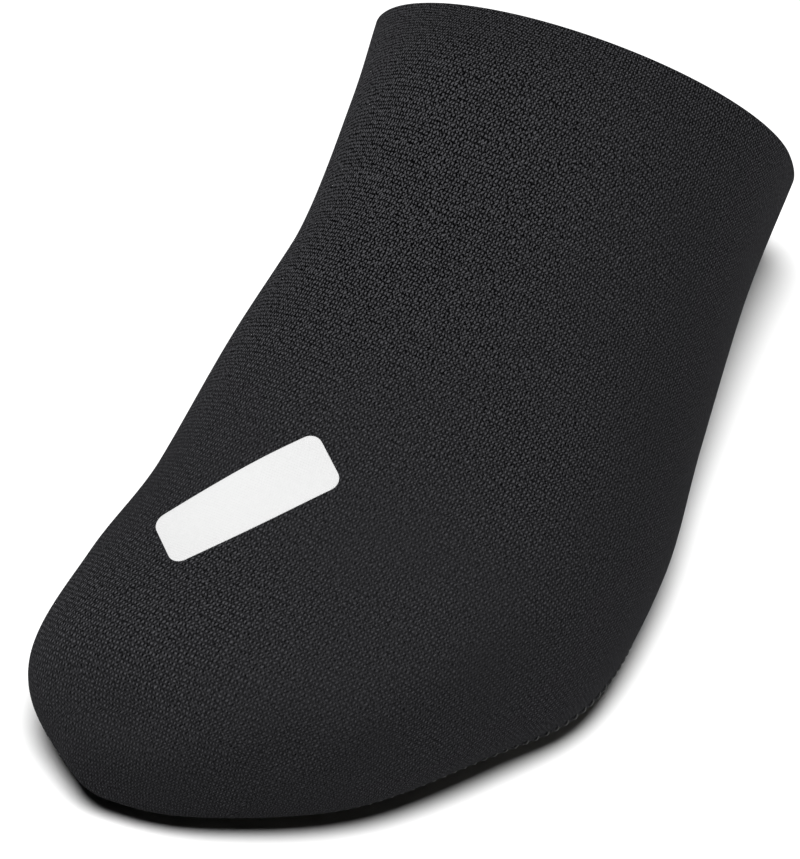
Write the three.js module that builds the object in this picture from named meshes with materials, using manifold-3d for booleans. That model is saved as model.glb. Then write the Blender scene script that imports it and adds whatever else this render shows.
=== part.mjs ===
// A left cycling toe cover that is pulled over the front of a cycling shoe.
// The knitted upper is one hollow solid, closed at the toe and open at the collar.
// The sole panel closes it underneath and has an opening for the pedal's cleat.
// Millimetres, +Z up. The toe points to -Y and the wearer's left, the outer side, to +X.
// The origin is on the floor, under the middle of the cover's box.
import * as THREE from 'three';
import { mergeVertices } from 'three/addons/utils/BufferGeometryUtils.js';
import Module from 'manifold-3d';

// Driving sizes of the last
const LENGTH = 207; // tip of the toe to the rear edge of the sole
const BALL_WIDTH = 100; // across the ball of the foot
const COLLAR_HEIGHT = 85; // sole to rim, along the leaning plane of the collar
const TOE_SPRING = 8; // lift of the underside at the toe
const ARCH_RISE = 15; // lift of the underside at the rear edge
const COLLAR_LEAN = 32; // degrees that the rim leans towards the toe

// Cloth
const UPPER_WALL = 1.8; // the knit, lined
const HEM_WALL = 2.8; // the knit folded in at the collar
const HEM_DEPTH = 12; // from the rim to the edge of the fold
const SOLE_WALL = 2.2; // the tougher panel underneath
const SEAM_GAP = 0.3; // between the upper's lower edge and the panel

// How far the cut along the seam runs in and out of the cloth
const SEAM_REACH = Math.max(UPPER_WALL, HEM_WALL, SOLE_WALL) + 1;

// The seam's front, as places along SECTIONS: where the panel starts, and where it has its full width
const PANEL_STARTS = 1.3;
const PANEL_IS_FULL = 2.4;
const PANEL_FRONT_STEPS = 7;
const PANEL_BLUNTNESS = 8; // degrees of the round front that are cut straight

// Opening for the cleat
const CLEAT_LENGTH = 54;
const CLEAT_WIDTH = 42;
const CLEAT_CORNER = 14;
const CLEAT_FROM_TOE = 96; // tip of the toe to the middle of the opening
const BALL_ROW = 5; // the row of SECTIONS that it is centred on

// Shape of the underside's edge, from its flat middle up to the widest line: 2 is an ellipse
const EDGE_ROUNDNESS = 2.15;

// Sides of the faceted solids
const RINGS_PER_ROW = 4;
const TOP_SIDES = 26;
const EDGE_SIDES = 6;
const FLAT_SIDES = 8;
const OVERRUN = 10; // how far a cutting solid runs past what it cuts

// Sections of the last from the tip of the toe to the collar. Each stands on the underside.
// along: share of LENGTH. spring: share of TOE_SPRING. arch: share of ARCH_RISE.
// lean: share of COLLAR_LEAN. outer, inner, ridge: shares of BALL_WIDTH from the middle line
// to the outer side, the inner side and the top of the instep.
// high: share of COLLAR_HEIGHT. widest: share of the section's own height.
// flat: share of the half width that is flat underneath.
// roundOuter, roundInner: 2 is an ellipse, and more is squarer.
// seamOuter, seamInner: shares of the half width at which the panel underneath ends.
const SECTIONS = [
  { along: 0.000, spring: 1.10, arch: 0.00, lean: 0.00, outer: -0.255, inner: -0.255, ridge: -0.255, high: 0.000,
    widest: 0.45, flat: 0.00, roundOuter: 2.2, roundInner: 2.2, seamOuter: 0.78, seamInner: 0.78 },
  { along: 0.012, spring: 0.80, arch: 0.00, lean: 0.00, outer: -0.022, inner: -0.342, ridge: -0.110, high: 0.228,
    widest: 0.46, flat: 0.34, roundOuter: 2.2, roundInner: 2.2, seamOuter: 0.78, seamInner: 0.78 },
  { along: 0.074, spring: 0.70, arch: 0.00, lean: 0.00, outer: 0.245, inner: -0.472, ridge: -0.100, high: 0.420,
    widest: 0.36, flat: 0.64, roundOuter: 2.4, roundInner: 2.2, seamOuter: 0.80, seamInner: 0.80 },
  { along: 0.190, spring: 0.33, arch: 0.00, lean: 0.00, outer: 0.448, inner: -0.475, ridge: -0.100, high: 0.538,
    widest: 0.35, flat: 0.53, roundOuter: 2.45, roundInner: 2.2, seamOuter: 0.88, seamInner: 0.84 },
  { along: 0.290, spring: 0.00, arch: 0.00, lean: 0.00, outer: 0.551, inner: -0.440, ridge: -0.105, high: 0.668,
    widest: 0.285, flat: 0.60, roundOuter: 2.35, roundInner: 2.2, seamOuter: 0.975, seamInner: 0.85 },
  { along: 0.450, spring: 0.00, arch: 0.00, lean: 0.115, outer: 0.563, inner: -0.426, ridge: -0.115, high: 0.770,
    widest: 0.30, flat: 0.60, roundOuter: 2.1, roundInner: 2.2, seamOuter: 0.92, seamInner: 0.85 },
  { along: 0.630, spring: 0.00, arch: 0.030, lean: 0.345, outer: 0.511, inner: -0.397, ridge: -0.100, high: 0.882,
    widest: 0.34, flat: 0.60, roundOuter: 2.0, roundInner: 2.15, seamOuter: 0.84, seamInner: 0.84 },
  { along: 0.825, spring: 0.00, arch: 0.56, lean: 0.63, outer: 0.474, inner: -0.410, ridge: -0.070, high: 0.980,
    widest: 0.40, flat: 0.60, roundOuter: 2.0, roundInner: 2.1, seamOuter: 0.82, seamInner: 0.82 },
  { along: 1.000, spring: 0.00, arch: 1.00, lean: 1.00, outer: 0.462, inner: -0.461, ridge: -0.005, high: 1.000,
    widest: 0.45, flat: 0.60, roundOuter: 2.0, roundInner: 2.0, seamOuter: 0.82, seamInner: 0.82 },
];

// Columns that are mirrored in the row before the tip, so that the toe closes round
const MIRRORED = ['spring', 'outer', 'inner', 'ridge', 'high', 'flat'];

const wasm = await Module();
wasm.setup();

// Smooth curve through b and c, with a and d as its neighbours
function smooth(a, b, c, d, t) {
  const linear = c - a;
  const square = 2 * a - 5 * b + 4 * c - d;
  const cube = 3 * b - a - 3 * c + d;
  return 0.5 * (2 * b + t * (linear + t * (square + t * cube)));
}

function rowBeforeTip() {
  const [tip, next] = SECTIONS;
  const row = { ...next };
  for (const column of MIRRORED) row[column] = 2 * tip[column] - next[column];
  return row;
}

function rowAfterCollar() {
  const [before, collar] = SECTIONS.slice(-2);
  const row = {};
  for (const column of Object.keys(collar)) row[column] = 2 * collar[column] - before[column];
  return row;
}

// The section at a place along the table: 0 is the tip, 1 the next row, and so on
function sectionAt(place) {
  const rows = [rowBeforeTip(), ...SECTIONS, rowAfterCollar()];
  const step = Math.min(Math.floor(place), SECTIONS.length - 2);
  const [a, b, c, d] = rows.slice(step, step + 4);
  const share = {};
  for (const column of Object.keys(b)) {
    share[column] = smooth(a[column], b[column], c[column], d[column], place - step);
  }
  return {
    y: share.along * LENGTH,
    floor: Math.max(share.spring * TOE_SPRING + share.arch * ARCH_RISE, 0),
    lean: THREE.MathUtils.degToRad(share.lean * COLLAR_LEAN),
    outer: share.outer * BALL_WIDTH,
    inner: share.inner * BALL_WIDTH,
    ridge: share.ridge * BALL_WIDTH,
    high: share.high * COLLAR_HEIGHT,
    widest: share.widest,
    flat: share.flat,
    roundOuter: share.roundOuter,
    roundInner: share.roundInner,
    seamOuter: share.seamOuter,
    seamInner: share.seamInner,
  };
}

// A point at x and height up on the section's leaning plane
function onPlane(section, x, up) {
  return new THREE.Vector3(
    x,
    section.y - up * Math.sin(section.lean),
    section.floor + up * Math.cos(section.lean),
  );
}

// The section's loop: over the top from the outer side, then round the edge, flat and edge below
function sectionLoop(section) {
  const loop = [];
  const side = section.widest * section.high;
  const middle = (section.outer + section.inner) / 2;
  const half = (section.outer - section.inner) / 2;
  for (let i = 0; i < TOP_SIDES; i += 1) {
    const turn = (Math.PI * i) / TOP_SIDES;
    const isOuter = turn < Math.PI / 2;
    const power = 2 / (isOuter ? section.roundOuter : section.roundInner);
    const reach = (isOuter ? section.outer : section.inner) - section.ridge;
    const x = section.ridge + reach * Math.abs(Math.cos(turn)) ** power;
    loop.push(onPlane(section, x, side + (section.high - side) * Math.sin(turn) ** power));
  }
  const power = 2 / EDGE_ROUNDNESS;
  const edge = (i) => {
    const turn = (Math.PI / 2) * (i / EDGE_SIDES);
    const out = section.flat + (1 - section.flat) * Math.max(Math.cos(turn), 0) ** power;
    return { out: out * half, up: side * (1 - Math.sin(turn) ** power) };
  };
  for (let i = 0; i < EDGE_SIDES; i += 1) {
    loop.push(onPlane(section, middle - edge(i).out, edge(i).up));
  }
  for (let i = 0; i < FLAT_SIDES; i += 1) {
    const across = section.flat * half * ((2 * i) / FLAT_SIDES - 1);
    loop.push(onPlane(section, middle + across, 0));
  }
  for (let i = EDGE_SIDES; i > 0; i -= 1) {
    loop.push(onPlane(section, middle + edge(i).out, edge(i).up));
  }
  return loop;
}

const PLACES = [];
for (let i = 1; i <= (SECTIONS.length - 1) * RINGS_PER_ROW; i += 1) PLACES.push(i / RINGS_PER_ROW);
const STATIONS = PLACES.map(sectionAt);
const SIDES = TOP_SIDES + 2 * EDGE_SIDES + FLAT_SIDES;
const COLLAR = STATIONS[STATIONS.length - 1];
const COLLAR_AXIS = new THREE.Vector3(0, Math.cos(COLLAR.lean), Math.sin(COLLAR.lean));

function geometryOf(points, faces) {
  const geometry = new THREE.BufferGeometry();
  const numbers = points.flatMap((point) => point.toArray());
  geometry.setAttribute('position', new THREE.Float32BufferAttribute(numbers, 3));
  geometry.setIndex(faces.flat());
  return geometry;
}

// The outer surface: the tip is point 0 and the rings follow, open at the collar
function outerSurface() {
  const tip = sectionAt(0);
  const points = [new THREE.Vector3(tip.ridge, tip.y, tip.floor)];
  for (const station of STATIONS) points.push(...sectionLoop(station));
  const faces = [];
  const at = (ring, side) => 1 + ring * SIDES + (side % SIDES);
  for (let side = 0; side < SIDES; side += 1) {
    faces.push([0, at(0, side), at(0, side + 1)]);
    for (let ring = 0; ring + 1 < STATIONS.length; ring += 1) {
      faces.push([at(ring, side), at(ring + 1, side), at(ring + 1, side + 1)]);
      faces.push([at(ring, side), at(ring + 1, side + 1), at(ring, side + 1)]);
    }
  }
  return { points, faces };
}

function solidOf(geometry) {
  const bare = geometry.clone();
  bare.deleteAttribute('normal');
  bare.deleteAttribute('uv');
  const merged = mergeVertices(bare);
  return new wasm.Manifold(new wasm.Mesh({
    numProp: 3,
    vertProperties: new Float32Array(merged.getAttribute('position').array),
    triVerts: new Uint32Array(merged.getIndex().array),
  }));
}

// The last as a solid, drawn in by inset all over
function lastSolid(inset) {
  const { points, faces } = outerSurface();
  const surface = geometryOf(points, faces);
  surface.computeVertexNormals();
  const normals = surface.getAttribute('normal');
  const rim = points.length - SIDES;
  const drawn = points.map((point, i) => {
    const normal = new THREE.Vector3().fromBufferAttribute(normals, i);
    if (i >= rim) normal.projectOnPlane(COLLAR_AXIS).normalize();
    return point.clone().addScaledVector(normal, -inset);
  });
  // A cavity runs on past the rim, so that it opens the collar cleanly
  let end = rim;
  if (inset > 0) {
    end = drawn.length;
    const beyond = drawn.slice(rim).map((point) => point.clone().addScaledVector(COLLAR_AXIS, OVERRUN));
    drawn.push(...beyond);
  }
  const centre = new THREE.Vector3();
  for (const point of drawn.slice(end)) centre.addScaledVector(point, 1 / SIDES);
  drawn.push(centre);
  for (let side = 0; side < SIDES; side += 1) {
    const next = (side + 1) % SIDES;
    if (end > rim) {
      faces.push([rim + side, end + side, end + next]);
      faces.push([rim + side, end + next, rim + next]);
    }
    faces.push([drawn.length - 1, end + next, end + side]);
  }
  return solidOf(geometryOf(drawn, faces));
}

// Everything nearer to the rim than depth, and all beyond it
function collarBlock(depth) {
  const size = 3 * LENGTH;
  const block = new THREE.BoxGeometry(size, size, size);
  block.translate(0, size / 2 - depth, 0);
  block.rotateX(COLLAR.lean);
  block.translate(0, COLLAR.y, COLLAR.floor);
  return solidOf(block);
}

// A point on the underside: out is a share of the half width, to the outer side where it is positive
function underPoint(place, out) {
  const section = sectionAt(place);
  const middle = (section.outer + section.inner) / 2;
  const half = (section.outer - section.inner) / 2;
  const round = Math.max((Math.abs(out) - section.flat) / (1 - section.flat), 0);
  const drop = (1 - round ** EDGE_ROUNDNESS) ** (1 / EDGE_ROUNDNESS);
  return onPlane(section, middle + out * half, section.widest * section.high * (1 - drop));
}

// The outward direction of the cloth at that point
function underNormal(place, out) {
  const [placeStep, outStep] = [0.02, 0.005];
  const back = underPoint(place + placeStep, out).sub(underPoint(place - placeStep, out));
  const across = underPoint(place, out + outStep).sub(underPoint(place, out - outStep));
  return across.cross(back).normalize().negate();
}

// Places along the seam, from its round front to the collar, with the share of its width there
function seamStops() {
  const stops = [];
  const blunt = THREE.MathUtils.degToRad(PANEL_BLUNTNESS);
  for (let i = 0; i < PANEL_FRONT_STEPS; i += 1) {
    const turn = blunt + (Math.PI / 2 - blunt) * (i / PANEL_FRONT_STEPS);
    const place = PANEL_IS_FULL - (PANEL_IS_FULL - PANEL_STARTS) * Math.cos(turn);
    stops.push({ place, width: Math.sin(turn) });
  }
  const last = SECTIONS.length - 1;
  const steps = Math.round((last - PANEL_IS_FULL) * RINGS_PER_ROW);
  for (let i = 0; i <= steps; i += 1) {
    stops.push({ place: PANEL_IS_FULL + (last - PANEL_IS_FULL) * (i / steps), width: 1 });
  }
  return stops;
}

// Everything under the seam, cut square to the cloth and grown by a clearance
function underSeam(grow) {
  const stops = seamStops();
  const outOuter = ({ place, width }) => ({ place, out: width * sectionAt(place).seamOuter });
  const outInner = ({ place, width }) => ({ place, out: -width * sectionAt(place).seamInner });
  const round = [...stops.map(outOuter).reverse(), ...stops.map(outInner)];
  const seam = round.map(({ place, out }) => underPoint(place, out));
  const cuts = round.map(({ place, out }, i) => {
    const normal = underNormal(place, out);
    const next = seam[Math.min(i + 1, seam.length - 1)];
    const along = next.clone().sub(seam[Math.max(i - 1, 0)]).normalize();
    const point = seam[i].clone().addScaledVector(along.cross(normal), grow);
    const inside = point.clone().addScaledVector(normal, -SEAM_REACH);
    const outside = point.clone().addScaledVector(normal, SEAM_REACH);
    return [inside, outside, outside.clone().setZ(-OVERRUN)];
  });
  const outerCuts = cuts.slice(0, stops.length).reverse();
  const innerCuts = cuts.slice(stops.length);
  const loops = outerCuts.map((cut, i) => [...cut, ...innerCuts[i].slice().reverse()]);
  const beyond = loops[loops.length - 1].map((point) => point.clone().addScaledVector(COLLAR_AXIS, OVERRUN));
  return loftSolid([...loops, beyond]);
}

// A solid through loops of points, with a fan over each end
function loftSolid(loops) {
  const sides = loops[0].length;
  const points = loops.flat();
  const faces = [];
  loops.slice(1).forEach((_, ring) => {
    for (let side = 0; side < sides; side += 1) {
      const next = (side + 1) % sides;
      const [a, b] = [ring * sides + side, ring * sides + next];
      faces.push([a, b, b + sides], [a, b + sides, a + sides]);
    }
  });
  const far = (loops.length - 1) * sides;
  for (let side = 1; side + 1 < sides; side += 1) {
    faces.push([0, side + 1, side], [far, far + side, far + side + 1]);
  }
  return solidOf(geometryOf(points, faces));
}

function cleatShape() {
  const halfWidth = CLEAT_WIDTH / 2 - CLEAT_CORNER;
  const halfLength = CLEAT_LENGTH / 2 - CLEAT_CORNER;
  const ball = sectionAt(BALL_ROW);
  const middle = (ball.outer + ball.inner) / 2;
  const shape = new THREE.Shape();
  const corners = [[1, 1], [-1, 1], [-1, -1], [1, -1]];
  corners.forEach(([across, along], i) => {
    const start = (Math.PI / 2) * i;
    const x = middle + across * halfWidth;
    const y = CLEAT_FROM_TOE + along * halfLength;
    shape.absarc(x, y, CLEAT_CORNER, start, start + Math.PI / 2, false);
  });
  return shape;
}

// The opening is cut through the panel alone
function cleatSolid() {
  const depth = 2 * OVERRUN;
  const geometry = new THREE.ExtrudeGeometry(cleatShape(), { depth, bevelEnabled: false });
  geometry.translate(0, 0, -OVERRUN);
  return solidOf(geometry);
}

const LAST = lastSolid(0);

// The hollow knit, with the hem folded in at the collar and open where the sole panel goes
function makeUpper() {
  const hollow = lastSolid(UPPER_WALL).subtract(collarBlock(HEM_DEPTH)).add(lastSolid(HEM_WALL));
  return LAST.subtract(hollow).subtract(underSeam(SEAM_GAP));
}

// The panel underneath, to the seam all round, with the opening for the cleat
function makeSole() {
  return underSeam(0).intersect(LAST).subtract(lastSolid(SOLE_WALL)).subtract(cleatSolid());
}

function meshOf(name, solid, material) {
  const { vertProperties, triVerts } = solid.getMesh();
  const geometry = new THREE.BufferGeometry();
  geometry.setAttribute('position', new THREE.BufferAttribute(vertProperties, 3));
  geometry.setIndex(new THREE.BufferAttribute(triVerts, 1));
  const mesh = new THREE.Mesh(geometry, material);
  mesh.name = name;
  return mesh;
}

const knit = new THREE.MeshStandardMaterial({ color: 0x2a2a2c, roughness: 0.9, metalness: 0 });
const panelCloth = new THREE.MeshStandardMaterial({ color: 0x23221f, roughness: 0.85, metalness: 0 });

const pieces = new THREE.Group();
pieces.add(meshOf('upper', makeUpper(), knit));
pieces.add(meshOf('sole', makeSole(), panelCloth));

// The middle of the cover's box goes to the origin
const middle = new THREE.Box3().setFromObject(pieces).getCenter(new THREE.Vector3());
pieces.position.set(-middle.x, -middle.y, 0);

const cover = new THREE.Group();
cover.add(pieces);
export default cover;
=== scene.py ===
# The looks of a left cycling toe cover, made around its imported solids.
# Metres, +Z up. The toe points to -Y and the wearer's left, the outer side, to +X.
import math

import bpy
import numpy as np
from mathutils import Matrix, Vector
from mathutils.bvhtree import BVHTree


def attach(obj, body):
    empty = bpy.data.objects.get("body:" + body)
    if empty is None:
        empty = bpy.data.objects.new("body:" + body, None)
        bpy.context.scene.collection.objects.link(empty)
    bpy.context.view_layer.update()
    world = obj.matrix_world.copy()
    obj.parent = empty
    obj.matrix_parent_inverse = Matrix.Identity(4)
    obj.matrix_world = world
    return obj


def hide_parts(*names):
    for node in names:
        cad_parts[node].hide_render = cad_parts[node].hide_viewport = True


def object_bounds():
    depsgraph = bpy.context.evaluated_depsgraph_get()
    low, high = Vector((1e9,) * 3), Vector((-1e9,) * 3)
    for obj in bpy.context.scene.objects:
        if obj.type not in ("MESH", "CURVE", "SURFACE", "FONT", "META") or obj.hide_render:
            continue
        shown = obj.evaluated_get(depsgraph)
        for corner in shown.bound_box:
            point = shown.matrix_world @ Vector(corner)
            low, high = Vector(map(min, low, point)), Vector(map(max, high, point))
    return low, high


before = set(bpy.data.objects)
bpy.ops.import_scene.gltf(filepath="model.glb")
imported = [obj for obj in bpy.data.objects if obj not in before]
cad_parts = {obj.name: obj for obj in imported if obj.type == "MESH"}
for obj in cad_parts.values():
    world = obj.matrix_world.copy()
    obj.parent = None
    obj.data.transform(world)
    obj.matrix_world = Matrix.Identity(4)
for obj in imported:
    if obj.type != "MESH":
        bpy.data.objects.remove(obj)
CAD_LOW, CAD_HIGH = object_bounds()
MM = 0.001

# Driving sizes of the last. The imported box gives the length.
LENGTH = CAD_HIGH.y - CAD_LOW.y
BALL_WIDTH = 100 * MM
COLLAR_HEIGHT = 85 * MM
TOE_SPRING = 8 * MM
ARCH_RISE = 15 * MM
COLLAR_LEAN = math.radians(32)

# Cloth
UPPER_WALL = 1.8 * MM
HEM_WALL = 2.8 * MM
HEM_DEPTH = 12 * MM
HEM_STEP = 1.2 * MM  # length of the slope from the wall to the hem
HEM_ROLL = 0.7 * MM  # how far the folded edge is round
SOLE_WALL = 2.2 * MM
SEAM_GAP = 0.3 * MM

# The seam's front, as places along SECTIONS, as in the solids
PANEL_STARTS = 1.3
PANEL_IS_FULL = 2.4

# Opening for the cleat
CLEAT_LENGTH = 54 * MM
CLEAT_WIDTH = 42 * MM
CLEAT_CORNER = 14 * MM
CLEAT_FROM_TOE = 96 * MM
BALL_ROW = 5

# Shape of the underside's edge, from its flat middle up to the widest line: 2 is an ellipse
EDGE_ROUNDNESS = 2.15

# Sections of the last from the tip of the toe to the collar, as in the solids
COLUMNS = ("along", "spring", "arch", "lean", "outer", "inner", "ridge", "high", "widest", "flat",
           "round_outer", "round_inner", "seam_outer", "seam_inner")
SECTIONS = np.array([
    (0.000, 1.10, 0.000, 0.000, -0.255, -0.255, -0.255, 0.000, 0.450, 0.00, 2.20, 2.20, 0.780, 0.78),
    (0.012, 0.80, 0.000, 0.000, -0.022, -0.342, -0.110, 0.228, 0.460, 0.34, 2.20, 2.20, 0.780, 0.78),
    (0.074, 0.70, 0.000, 0.000, 0.245, -0.472, -0.100, 0.420, 0.360, 0.64, 2.40, 2.20, 0.800, 0.80),
    (0.190, 0.33, 0.000, 0.000, 0.448, -0.475, -0.100, 0.538, 0.350, 0.53, 2.45, 2.20, 0.880, 0.84),
    (0.290, 0.00, 0.000, 0.000, 0.551, -0.440, -0.105, 0.668, 0.285, 0.60, 2.35, 2.20, 0.975, 0.85),
    (0.450, 0.00, 0.000, 0.115, 0.563, -0.426, -0.115, 0.770, 0.300, 0.60, 2.10, 2.20, 0.920, 0.85),
    (0.630, 0.00, 0.030, 0.345, 0.511, -0.397, -0.100, 0.882, 0.340, 0.60, 2.00, 2.15, 0.840, 0.84),
    (0.825, 0.00, 0.560, 0.630, 0.474, -0.410, -0.070, 0.980, 0.400, 0.60, 2.00, 2.10, 0.820, 0.82),
    (1.000, 0.00, 1.000, 1.000, 0.462, -0.461, -0.005, 1.000, 0.450, 0.60, 2.00, 2.00, 0.820, 0.82),
])
MIRRORED = ("spring", "outer", "inner", "ridge", "high", "flat")
LAST_PLACE = len(SECTIONS) - 1
OUTER, INNER = 1, -1

# How finely the cloth is meshed
MAP_ROWS_PER_PLACE = 100
PROFILE_TOP, PROFILE_EDGE, PROFILE_FLAT = 160, 90, 30
ROWS_TO_SEAM = 20
ROWS_BEYOND = 176
COLUMNS_EACH_SIDE = 88
PATTERN_STEP = 4  # rows and columns for each one that is laid flat
ROLL_STEPS = 6
RIM_STEP = 0.05  # part of a place before the rim over which its speed is taken
EDGE_BLEND = 0.45  # share of the way to the seam from where the rows lean towards it
SEAM_FRONT_STEPS = 90
SEAM_SIDE_STEPS = 400
SEAM_FINENESS = 4  # points of the seam for each row of the knit
SEAM_PATH_STEPS = 700
CLEAT_STEPS = 800
PANEL_SIDE_STEPS = 300
PANEL_REAR_STEPS = 160
FINE_PLACES = 4000
PANEL_ROUND = 400
PANEL_RINGS = 46

# Stitches
STITCH_PITCH = 2.25 * MM
STITCH_REACH = 1.25 * MM
STITCH_SLANT = 0.35 * MM
STITCH_HIGH = 0.38 * MM
STITCH_SUNK = 0.05 * MM
STITCH_RINGS = 6
THREAD_RADIUS = 0.19 * MM
THREAD_SIDES = 7


def rows_with_ends():
    """SECTIONS with a mirrored row before the tip and one more beyond the collar."""
    before = SECTIONS[1].copy()
    for name in MIRRORED:
        column = COLUMNS.index(name)
        before[column] = 2 * SECTIONS[0][column] - SECTIONS[1][column]
    return np.vstack([before, SECTIONS, 2 * SECTIONS[-1] - SECTIONS[-2]])


def section_at(place):
    """The section's real sizes at each place: 0 is the tip, 1 the next row, and so on."""
    rows = rows_with_ends()
    place = np.asarray(place, float)
    step = np.clip(np.floor(place).astype(int), 0, LAST_PLACE - 1)
    a, b, c, d = (rows[step + i] for i in range(4))
    t = (place - step)[..., None]
    share = 0.5 * (2 * b + t * ((c - a) + t * ((2 * a - 5 * b + 4 * c - d) + t * (3 * b - a - 3 * c + d))))
    share = {name: share[..., i] for i, name in enumerate(COLUMNS)}
    return {
        "y": share["along"] * LENGTH,
        "floor": np.maximum(share["spring"] * TOE_SPRING + share["arch"] * ARCH_RISE, 0),
        "lean": share["lean"] * COLLAR_LEAN,
        "outer": share["outer"] * BALL_WIDTH,
        "inner": share["inner"] * BALL_WIDTH,
        "ridge": share["ridge"] * BALL_WIDTH,
        "high": share["high"] * COLLAR_HEIGHT,
        "side": share["widest"] * share["high"] * COLLAR_HEIGHT,
        "flat": np.maximum(share["flat"], 0),
        "middle": (share["outer"] + share["inner"]) / 2 * BALL_WIDTH,
        "half": (share["outer"] - share["inner"]) / 2 * BALL_WIDTH,
        "round_outer": share["round_outer"],
        "round_inner": share["round_inner"],
        "seam_outer": share["seam_outer"],
        "seam_inner": share["seam_inner"],
    }


ALL_PLACES = np.linspace(0, LAST_PLACE, LAST_PLACE * MAP_ROWS_PER_PLACE + 1)
ALL_SECTIONS = section_at(ALL_PLACES)

# The box's middle is at x = 0, and the tip is at its front
MIDDLE_X = -(ALL_SECTIONS["outer"].max() + ALL_SECTIONS["inner"].min()) / 2
TIP_Y = CAD_LOW.y
RIM_LEAN = float(ALL_SECTIONS["lean"][-1])
COLLAR_AXIS = np.array([0.0, math.cos(RIM_LEAN), math.sin(RIM_LEAN)])


def on_plane(section, x, up):
    """A point at x and height up on the section's leaning plane."""
    y = section["y"] - up * np.sin(section["lean"])
    z = section["floor"] + up * np.cos(section["lean"])
    return np.stack(np.broadcast_arrays(x + MIDDLE_X, y + TIP_Y, z), axis=-1)


def half_profiles(place, hand):
    """Fine profiles from the ridge over one side to the middle of the underside.
    With them go their shares out across the underside, from 2 on the ridge and 1 at the widest line to 0."""
    section = {name: values[:, None] for name, values in section_at(place).items()}
    edge_x = section["outer"] if hand == OUTER else section["inner"]
    power = 2 / (section["round_outer"] if hand == OUTER else section["round_inner"])
    turn = np.linspace(math.pi / 2, 0, PROFILE_TOP)[None]
    x = section["ridge"] + (edge_x - section["ridge"]) * np.maximum(np.cos(turn), 0) ** power
    up = section["side"] + (section["high"] - section["side"]) * np.sin(turn) ** power
    out = np.broadcast_to(1 + turn / (math.pi / 2), up.shape)
    turn = np.linspace(0, math.pi / 2, PROFILE_EDGE)[None, 1:]
    flat = section["flat"]
    edge_out = flat + (1 - flat) * np.maximum(np.cos(turn), 0) ** (2 / EDGE_ROUNDNESS)
    edge_up = section["side"] * (1 - np.sin(turn) ** (2 / EDGE_ROUNDNESS))
    under_out = np.hstack([edge_out, flat * np.linspace(1, 0, PROFILE_FLAT)[None, 1:]])
    under_up = np.hstack([edge_up, np.zeros((len(up), PROFILE_FLAT - 1))])
    under_x = section["middle"] + hand * under_out * section["half"]
    points = on_plane(section, np.hstack([x, under_x]), np.hstack([up, under_up]))
    return points, np.hstack([out, under_out])


def lengths_along(points):
    """Length from the first point of each row of points."""
    steps = np.linalg.norm(np.diff(points, axis=-2), axis=-1)
    return np.concatenate([np.zeros(steps.shape[:-1] + (1,)), np.cumsum(steps, -1)], -1)


MAP_SIDE = 150


def make_map():
    """The last's surface as a table of points: a row for each place, and from -1 at the middle of the
    underside over the outer side, the ridge at 0 and the inner side to 1, evenly along each half."""
    halves = []
    for hand in (OUTER, INNER):
        points, _ = half_profiles(ALL_PLACES, hand)
        lengths = lengths_along(points)
        even = np.linspace(0, 1, MAP_SIDE + 1)
        half = np.empty((len(points), MAP_SIDE + 1, 3))
        for row, (line, length) in enumerate(zip(points, lengths)):
            for axis in range(3):
                half[row, :, axis] = np.interp(even * length[-1], length, line[:, axis])
        halves.append(half)
    return np.concatenate([halves[0][:, :0:-1], halves[1]], axis=1)


LAST_MAP = make_map()


def on_last(place, around):
    """Points of the last's surface at each place and share around."""
    row = np.clip(np.asarray(place, float), 0, LAST_PLACE) * MAP_ROWS_PER_PLACE
    side = (np.clip(around, -1, 1) + 1) * MAP_SIDE
    row, side = np.broadcast_arrays(row, side)
    r = np.minimum(row.astype(int), LAST_MAP.shape[0] - 2)
    s = np.minimum(side.astype(int), LAST_MAP.shape[1] - 2)
    u, v = (row - r)[..., None], (side - s)[..., None]
    near = LAST_MAP[r, s] * (1 - v) + LAST_MAP[r, s + 1] * v
    far = LAST_MAP[r + 1, s] * (1 - v) + LAST_MAP[r + 1, s + 1] * v
    return near * (1 - u) + far * u


def shares_over(place, hand):
    """For each place, the shares around and out of the points of its half profile."""
    points, outs = half_profiles(place, hand)
    lengths = lengths_along(points)
    return zip(lengths / np.maximum(lengths[:, -1:], 1e-9), outs)


def around_of_out(place, hand, out):
    """The share around, 0 to 1, at which the underside's share out lies."""
    return np.array([np.interp(-wanted, -outs, around)
                     for wanted, (around, outs) in zip(out, shares_over(place, hand))])


def out_of_around(place, hand, around):
    """The underside's share out at a share around from 0 to 1."""
    return np.array([np.interp(wanted, shares, outs)
                     for wanted, (shares, outs) in zip(around, shares_over(place, hand))])


def seam_out(place, hand):
    """The share out of the seam."""
    section = section_at(place)
    share = section["seam_outer"] if hand == OUTER else section["seam_inner"]
    turn = np.clip((PANEL_IS_FULL - place) / (PANEL_IS_FULL - PANEL_STARTS), 0, 1)
    return np.sqrt(1 - turn ** 2) * share


def moved_on_last(place, around, hand, width):
    """A line on the last, moved sideways along the surface by a width: to the ridge where it is positive."""
    step = 1e-3
    at = on_last(place, -hand * around)
    along = (on_last(place + step, -hand * around) - on_last(place - step, -hand * around)) / (2 * step)
    up = (on_last(place, -hand * (around - step)) - at) / step
    tangent = unit(np.gradient(at, axis=0))
    side = unit(np.cross(np.cross(along, up), tangent)) * width
    side *= np.sign((side * (up - along)).sum(-1, keepdims=True)) * np.sign(width)
    a, b, c = (along * along).sum(-1), (along * up).sum(-1), (up * up).sum(-1)
    p, q = (along * side).sum(-1), (up * side).sum(-1)
    scale = a * c - b * b
    return place + (c * p - b * q) / scale, around - (a * q - b * p) / scale


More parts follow.
